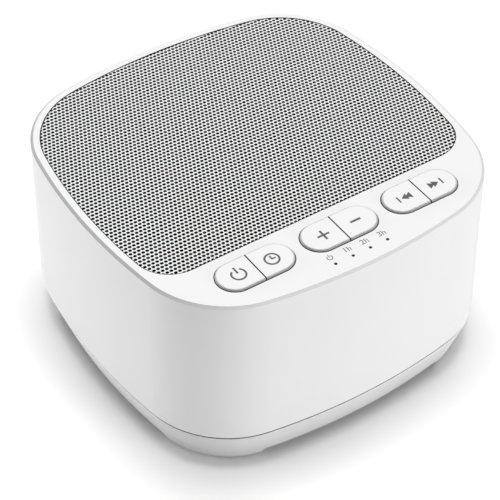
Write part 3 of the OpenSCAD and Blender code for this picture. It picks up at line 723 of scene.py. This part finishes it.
def steel_outline(sizes, grow):
    """Outline of the grille sheet, grown by a distance: bulged sides and back, a straight front."""
    side_steps, corner_steps, back_steps, near_steps = 24, 24, 16, 14
    half, back, front = STEEL_HI.x + grow, STEEL_HI.y + grow, STEEL_LO.y - grow
    side, corner, near = sizes.side_r + grow, sizes.corner_r + grow, sizes.front_r + grow
    side_x, side_y = side - half, side - back
    gap = math.hypot(side_x, side_y)
    reach = math.sqrt((side - corner) ** 2 - (gap / 2) ** 2)
    corner_x = reach * side_y / gap - side_x / 2
    corner_y = reach * side_x / gap - side_y / 2
    side_a = math.degrees(math.atan2(corner_y, corner_x + side_x))
    back_a = math.degrees(math.atan2(corner_x, corner_y + side_y))
    near_y = front + near
    near_x = math.sqrt((side - near) ** 2 - near_y ** 2) - side_x
    near_a = math.degrees(math.asin(near_y / (side - near)))
    right = arc((-side_x, 0), side, near_a, side_a - near_a, side_steps)
    right += arc((corner_x, corner_y), corner, side_a, 90 - side_a - back_a, corner_steps)[1:]
    right += arc((0, -side_y), side, 90 - back_a, back_a, back_steps)[1:]
    left = [(-x, y) for x, y in right[::-1]][1:]
    left += arc((-near_x, near_y), near, 180 - near_a, 90 + near_a, near_steps)[1:]
    front_right = arc((near_x, near_y), near, 270, 90 + near_a, near_steps)[:-1]
    return right + left + front_right


# Symbols

def ring(mesh, centre, radius, stroke, start, sweep, low, high, steps=40):
    """A flat ring or part of one."""
    outer = arc(centre, radius, start, sweep, steps)
    inner = arc(centre, radius - stroke, start, sweep, steps)
    for k in range(steps):
        prism(mesh, [inner[k], outer[k], outer[k + 1], inner[k + 1]], low, high)


def bar(mesh, centre, width, height, low, high):
    """A flat bar."""
    x, y = centre
    across, along = width / 2, height / 2
    front = [(x - across, y - along), (x + across, y - along)]
    back = [(x + across, y + along), (x - across, y + along)]
    prism(mesh, front + back, low, high)


def power_sign(mesh, centre, size, stroke, low, high):
    """A ring that is open at the top, and a bar in the opening."""
    opening = 34.0
    bar_up, bar_long = size * 0.72, size * 1.1
    ring(mesh, centre, size, stroke, 90 + opening, 360 - 2 * opening, low, high)
    bar(mesh, (centre[0], centre[1] + bar_up), stroke, bar_long, low, high)


def clock_sign(mesh, centre, size, stroke, low, high):
    """A ring with a hand that points up and one that points right."""
    hand = stroke * 0.85
    up, up_long = size * 0.27, size * 0.62
    right, right_long = size * 0.24, size * 0.6
    ring(mesh, centre, size, stroke, 0, 360, low, high, 48)
    bar(mesh, (centre[0], centre[1] + up), hand, up_long, low, high)
    bar(mesh, (centre[0] + right, centre[1]), right_long, hand, low, high)


def plus_sign(mesh, centre, size, stroke, low, high):
    """A bar, and a half bar on each side of it."""
    span, thick = size * 1.65, stroke * 1.15
    rest = (span - thick) / 2
    bar(mesh, centre, span, thick, low, high)
    for side in (-1, 1):
        bar(mesh, (centre[0], centre[1] + side * (thick + rest) / 2), thick, rest, low, high)


def minus_sign(mesh, centre, size, stroke, low, high):
    """A single bar, a little shorter and thicker than the plus sign's."""
    bar(mesh, centre, size * 1.45, stroke * 1.3, low, high)


def skip_sign(direction):
    """Gives back what draws a double arrow against a bar, to the right for 1 and to the left for -1."""
    def draw(mesh, centre, size, stroke, low, high):
        long, tall, pitch = size * 0.85, size * 0.56, size * 0.58
        notch = tall * (long - pitch) / long
        stop, stop_wide, stop_tall = size * 0.88, stroke * 0.9, size * 1.05
        tip = stop - size * 0.42
        bar(mesh, (centre[0] + direction * stop, centre[1]), stop_wide, stop_tall, low, high)
        half = [(tip, 0), (tip - long, tall), (tip - long, notch), (tip - long - pitch, tall)]
        whole = half + [(x, -y) for x, y in half[:0:-1]]
        outline = [(centre[0] + direction * x, centre[1] + y) for x, y in whole]
        prism(mesh, outline[::direction], low, high)
    return draw


# Each key's symbol, and the side of its opening that the key is on
SYMBOLS = {"power": (power_sign, -1), "timer": (clock_sign, 1),
           "volume_up": (plus_sign, -1), "volume_down": (minus_sign, 1),
           "previous": (skip_sign(-1), -1), "next": (skip_sign(1), 1)}


# Operators

class SOUNDMACHINE_OT_shells(bpy.types.Operator):
    """Finishes of the housing, the cover, the keys and the pads, with painted shade and highlight on the
    first three
    """

    bl_idname = "soundmachine.shells"
    bl_label = "Shells and keys"

    def execute(self, context):
        colours = context.scene.sound_colours
        # From the first key's near left corner to the last key's far right one
        key_zone = (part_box("key_power")[0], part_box("key_next")[1])
        paint_node("upper_housing", housing("moulded_body", colours, key_zone))
        paint_node("bottom_cover", cover_plastic("moulded_cover", colours, HOUSING_LO.z))
        keys = key_plastic("moulded_keys", colours)
        for name in SYMBOLS:
            paint_node("key_" + name, keys)
        paint_node("foot_pads", rubber("pad_rubber", (0.12, 0.12, 0.125)))
        paint_node("indicator_pins", glossy("pin_tint", (0.003, 0.003, 0.003), 0.4))
        return {"FINISHED"}


class SOUNDMACHINE_OT_grille(bpy.types.Operator):
    """Perforated steel sheet in the top, and the cloth behind it"""

    bl_idname = "soundmachine.grille"
    bl_label = "Grille"

    def execute(self, context):
        sizes = context.scene.sound_sizes
        top = STEEL_HI.z
        outline = steel_outline(sizes, CAD_STEEL_GAP - sizes.steel_gap)
        blank = from_bmesh("steel_blank", lambda work: prism(work, outline, top - sizes.steel_t, top))
        finish = coated_steel("coated_steel", context.scene.sound_colours.steel, top)
        sheet = perforation_tree().grow("grille_sheet", blank, {
            "Hole pitch": sizes.hole_pitch, "Row pitch": sizes.row_pitch,
            "Hole": (sizes.hole_w, sizes.hole_h, 1.0), "Sides": HOLE_SIDES,
            "Punch": sizes.steel_t * PUNCH_LENGTH,
            "Width": STEEL_HI.x - STEEL_LO.x, "Depth": STEEL_HI.y - STEEL_LO.y,
            "Middle": (0.0, (STEEL_LO.y + STEEL_HI.y) / 2, top - sizes.steel_t / 2), "Material": finish})
        piece = new_piece("grille_sheet", sheet, finish, "base")
        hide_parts("speaker_grille")
        self.tape(sizes)
        self.cloth(context.scene.sound_colours.cloth)
        return {"FINISHED"}

    def cloth(self, colour):
        """Dust cloth glued flat behind the steel."""
        paint_node("dust_cloth", woven("dust_weave", colour, 0.3 * MM))

    def tape(self, sizes):
        """Black tape that the steel's edge is glued to; it also lines the floor of the gap round the steel
        with black, as painted shade there.
        """
        # The black tape also darkens the floor of the gap round the steel as painted shade
        clear = 0.03 * MM
        outer = steel_outline(sizes, CAD_STEEL_GAP - clear)
        inner = steel_outline(sizes, CAD_STEEL_GAP - clear - sizes.tape_w)
        low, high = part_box("dust_cloth")[0].z + clear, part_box("dust_cloth")[1].z - clear
        strip = from_bmesh("grille_tape", lambda work: band(work, inner, outer, low, high))
        new_piece("grille_tape", strip, rubber("tape_foam", (0.008, 0.008, 0.008)), "base")


class SOUNDMACHINE_OT_symbols(bpy.types.Operator):
    """Printed symbols on the keys and time labels above the indicator pins"""

    bl_idname = "soundmachine.symbols"
    bl_label = "Symbols"

    def execute(self, context):
        sizes = context.scene.sound_sizes
        colours = context.scene.sound_colours
        ink = printed("key_ink", colours.ink)
        for name, (draw, side) in SYMBOLS.items():
            lo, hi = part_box("key_" + name)
            split = hi.x if side < 0 else lo.x
            centre = (split + side * sizes.symbol_in, (lo.y + hi.y) / 2 - sizes.symbol_drop)
            low, high = hi.z - sizes.ink_t, hi.z + sizes.ink_t
            mesh = from_bmesh("symbol_" + name, lambda work: draw(
                work, centre, sizes.symbol_r, sizes.symbol_w, low, high))
            new_piece("symbol_" + name, mesh, ink, name + "_key")
        self.labels(sizes, printed("label_ink", colours.label))
        return {"FINISHED"}

    def labels(self, sizes, ink):
        """A power sign and the hours, one behind each of the four indicator pins."""
        low, high = PANEL_Z - sizes.ink_t, PANEL_Z + sizes.ink_t
        y = (PIN_LO.y + PIN_HI.y) / 2 + sizes.label_up
        hours = (1, 2, 3)
        middle = len(hours) / 2
        pitch = (PIN_HI.x - PIN_LO.x - PIN_BAR_MORE) / len(hours)
        radius, stroke = sizes.label_h * 0.5, sizes.label_h * 0.13
        mesh = from_bmesh("label_power", lambda work: power_sign(
            work, (-middle * pitch, y), radius, stroke, low, high))
        new_piece("label_power", mesh, ink, "base")
        for hour in hours:
            mesh = self.text(f"{hour}h", sizes.label_h, high - low)
            mesh.transform(Matrix.Translation(((hour - middle) * pitch, y, (low + high) / 2)))
            new_piece(f"label_{hour}h", mesh, ink, "base")

    def text(self, words, height, thickness):
        """A mesh of words in the built-in font, centred on the origin."""
        curve = bpy.data.curves.new("words", "FONT")
        curve.body = words
        curve.size = height / CAP_HEIGHT
        curve.extrude = thickness / 2
        curve.align_x = "CENTER"
        curve.align_y = "CENTER"
        curve.resolution_u = 6
        holder = bpy.data.objects.new("words", curve)
        bpy.context.scene.collection.objects.link(holder)
        view = bpy.context.evaluated_depsgraph_get()
        mesh = bpy.data.meshes.new_from_object(holder.evaluated_get(view))
        bpy.data.objects.remove(holder)
        return mesh


class SOUNDMACHINE_OT_inside(bpy.types.Operator):
    """Finishes of the loudspeaker, the boards and the fasteners"""

    bl_idname = "soundmachine.inside"
    bl_label = "Inside"

    def execute(self, context):
        plated = metal("zinc_plate", (0.62, 0.62, 0.64))
        board = laminate("board_mask", (0.01, 0.09, 0.03))
        nylon = moulded("nylon", (0.75, 0.7, 0.56))
        epoxy = moulded("chip_epoxy", (0.02, 0.02, 0.022), rough=0.5)
        finishes = {
            "housing_screws": plated, "key_board_screws": plated, "speaker_screws": plated,
            "main_board_screws": plated, "magnet_top_plate": plated, "magnet_yoke": plated,
            "key_board": board, "main_board": board, "lead_sockets": nylon, "main_chips": epoxy,
            "tact_switches": metal("switch_cover", (0.66, 0.66, 0.68), 0.28),
            "status_leds": glossy("led_lens", (0.8, 0.75, 0.5), 0.2),
            "speaker_gasket": rubber("gasket_foam", (0.02, 0.02, 0.02)),
            "speaker_frame": moulded("frame_paint", (0.02, 0.02, 0.02), rough=0.4),
            "speaker_surround": rubber("surround_rubber", (0.015, 0.015, 0.015)),
            "speaker_cone": fibrous("cone_pulp", (0.02, 0.02, 0.022)),
            "speaker_dust_cap": fibrous("cap_pulp", (0.03, 0.03, 0.032)),
            "voice_coil": wound("coil_wire", (0.7, 0.33, 0.14)),
            "speaker_spider": woven("spider_weave", (0.5, 0.38, 0.15), 0.5 * MM),
            "speaker_magnet": fibrous("ferrite", (0.03, 0.03, 0.032)),
            "speaker_terminals": fibrous("strip_laminate", (0.35, 0.22, 0.1)),
            "capacitors": metal("can_metal", (0.8, 0.8, 0.82), 0.2),
            "usb_inlet": self.inlet(context.scene.sound_sizes)}
        plunger = moulded("plunger_nylon", (0.02, 0.02, 0.02))
        for name in SYMBOLS:
            finishes["plunger_" + name] = plunger
        for name, finish in finishes.items():
            paint_node(name, finish)
        return {"FINISHED"}

    def inlet(self, sizes):
        """Gilt contacts on the inlet's tongue; gives back the finish of the inlet itself."""
        # How far the contacts stand out of the tongue, lie behind its tip, and how long the tongue is
        skin = 0.03 * MM
        from_tip = 0.4 * MM
        depth = 4.8 * MM
        count = 12
        middle_x, middle_z = (INLET_LO.x + INLET_HI.x) / 2, (INLET_LO.z + INLET_HI.z) / 2
        tip = INLET_HI.y - sizes.tongue_in
        strip = (sizes.contact_w, sizes.contact_l, sizes.tongue_t + 2 * skin)
        gilt = metal("contact_gilt", (0.85, 0.6, 0.22), 0.25)
        mesh = contacts_tree().grow("inlet_contacts", bpy.data.meshes.new("no_blank"), {
            "Count": count, "Pitch": sizes.contact_pitch, "Strip": strip, "Material": gilt,
            "Middle": (middle_x, tip - sizes.contact_l / 2 - from_tip, middle_z)})
        new_piece("inlet_contacts", mesh, gilt, "base")
        reach = Vector((sizes.tongue_w / 2 + skin, 0.0, sizes.tongue_t / 2 + skin))
        middle = Vector((middle_x, 0.0, middle_z))
        low, high = middle - reach, middle + reach
        low.y, high.y = tip - depth, tip + skin
        return inlet_steel("inlet_nickel", (0.7, 0.7, 0.72), low, high)


def outward(azimuth, elevation):
    """Unit vector to a turn, anticlockwise from the front, and a height angle, both in degrees."""
    turn, height = math.radians(azimuth), math.radians(elevation)
    return Vector((math.sin(turn) * math.cos(height), -math.cos(turn) * math.cos(height), math.sin(height)))


def lamp(name, azimuth, elevation, size, power):
    """A rectangular soft lamp that looks at the object."""
    data = bpy.data.lights.new(name, "AREA")
    data.shape = "RECTANGLE"
    data.size, data.size_y = size
    data.energy = power
    light = bpy.data.objects.new(name, data)
    bpy.context.scene.collection.objects.link(light)
    back = outward(azimuth, elevation)
    light.location = Vector(LAMP_AIM) + back * LAMP_DISTANCE
    light.rotation_mode = "QUATERNION"
    light.rotation_quaternion = (-back).to_track_quat("-Z", "Y")


class SOUNDMACHINE_OT_studio(bpy.types.Operator):
    """Pale floor, soft lamps and the camera"""

    bl_idname = "soundmachine.studio"
    bl_label = "Studio"

    def execute(self, context):
        studio = context.scene.sound_studio
        self.floor(context)
        self.world(context, studio)
        for name, (azimuth, elevation, size) in LAMPS.items():
            lamp("lamp_" + name, azimuth, elevation, size, getattr(studio, name + "_w"))
        self.camera(context, studio)
        context.scene.view_settings.view_transform = "Standard"
        return {"FINISHED"}

    def floor(self, context):
        """A pale sheet that the camera sees brighter than it lights the object, and white far away."""
        reach = FLOOR_REACH
        mesh = from_bmesh("studio_floor", lambda work: prism(
            work, [(-reach, -reach), (reach, -reach), (reach, reach), (-reach, reach)], -FLOOR_DEPTH, 0.0))
        floor = bpy.data.objects.new("studio_floor", mesh)
        context.scene.collection.objects.link(floor)
        f = Finish("floor_paper")
        seen = f.add("ShaderNodeLightPath", output="Is Camera Ray")
        paper = context.scene.sound_colours.floor
        bright = tuple(context.scene.sound_studio.paper * channel for channel in paper)
        x, y = f.axes()[:2]
        far = (((x * x + y * y) - GLOW_START) / GLOW_SPAN).clamped()
        f.done(Base_Color=f.mix(seen, tuple(paper), bright), Roughness=0.9, Emission_Strength=1.0,
               Emission_Color=f.mix(seen * far, (0.0, 0.0, 0.0), (1.0, 1.0, 1.0)))
        mesh.materials.append(f.material)

    def world(self, context, studio):
        """An even light that the camera sees as white."""
        world = bpy.data.worlds.new("studio_sky")
        world.use_nodes = True
        context.scene.world = world
        tree = world.node_tree
        sky = tree.nodes["Background"]
        sky.inputs["Color"].default_value = (1.0, 1.0, 1.0, 1.0)
        path = tree.nodes.new("ShaderNodeLightPath")
        pick = tree.nodes.new("ShaderNodeMapRange")
        pick.inputs["To Min"].default_value = studio.world
        pick.inputs["To Max"].default_value = 1.0
        tree.links.new(path.outputs["Is Camera Ray"], pick.inputs["Value"])
        tree.links.new(pick.outputs[0], sky.inputs["Strength"])

    def camera(self, context, studio):
        """The camera, at its distance from the point it looks at."""
        data = bpy.data.cameras.new("camera")
        data.lens = studio.lens
        camera = bpy.data.objects.new("camera", data)
        context.scene.collection.objects.link(camera)
        back = outward(studio.azimuth, studio.elevation)
        camera.location = Vector(studio.aim) + back * studio.distance
        roll = Matrix.Rotation(math.radians(studio.roll), 3, "Z")
        turn = (-back).to_track_quat("-Z", "Y").to_matrix() @ roll
        camera.rotation_mode = "QUATERNION"
        camera.rotation_quaternion = turn.to_quaternion()
        context.scene.camera = camera


class SOUNDMACHINE_PT_panel(bpy.types.Panel):
    """Buttons that build the sound machine, and its settings"""

    bl_label = "Sound Machine"
    bl_idname = "SOUNDMACHINE_PT_panel"
    bl_space_type = "VIEW_3D"
    bl_region_type = "UI"
    bl_category = "Sound Machine"

    def draw(self, context):
        for operator in OPERATORS:
            self.layout.operator(operator.bl_idname)
        for group in GROUPS:
            settings = getattr(context.scene, group)
            box = self.layout.box()
            for name in settings.__annotations__:
                box.prop(settings, name)


OPERATORS = (SOUNDMACHINE_OT_studio, SOUNDMACHINE_OT_shells, SOUNDMACHINE_OT_grille,
             SOUNDMACHINE_OT_symbols, SOUNDMACHINE_OT_inside)
GROUPS = {"sound_sizes": SoundMachineSizes, "sound_colours": SoundMachineColours,
          "sound_studio": SoundMachineStudio}
CLASSES = (*GROUPS.values(), *OPERATORS, SOUNDMACHINE_PT_panel)


def register():
    for cls in CLASSES:
        bpy.utils.register_class(cls)
    for name, group in GROUPS.items():
        setattr(bpy.types.Scene, name, PointerProperty(type=group))


def unregister():
    for name in GROUPS:
        delattr(bpy.types.Scene, name)
    for cls in reversed(CLASSES):
        bpy.utils.unregister_class(cls)


def main():
    """Builds every piece in order."""
    register()
    bpy.ops.soundmachine.studio()
    bpy.ops.soundmachine.shells()
    bpy.ops.soundmachine.grille()
    bpy.ops.soundmachine.symbols()
    bpy.ops.soundmachine.inside()


if __name__ == "__main__":
    main()
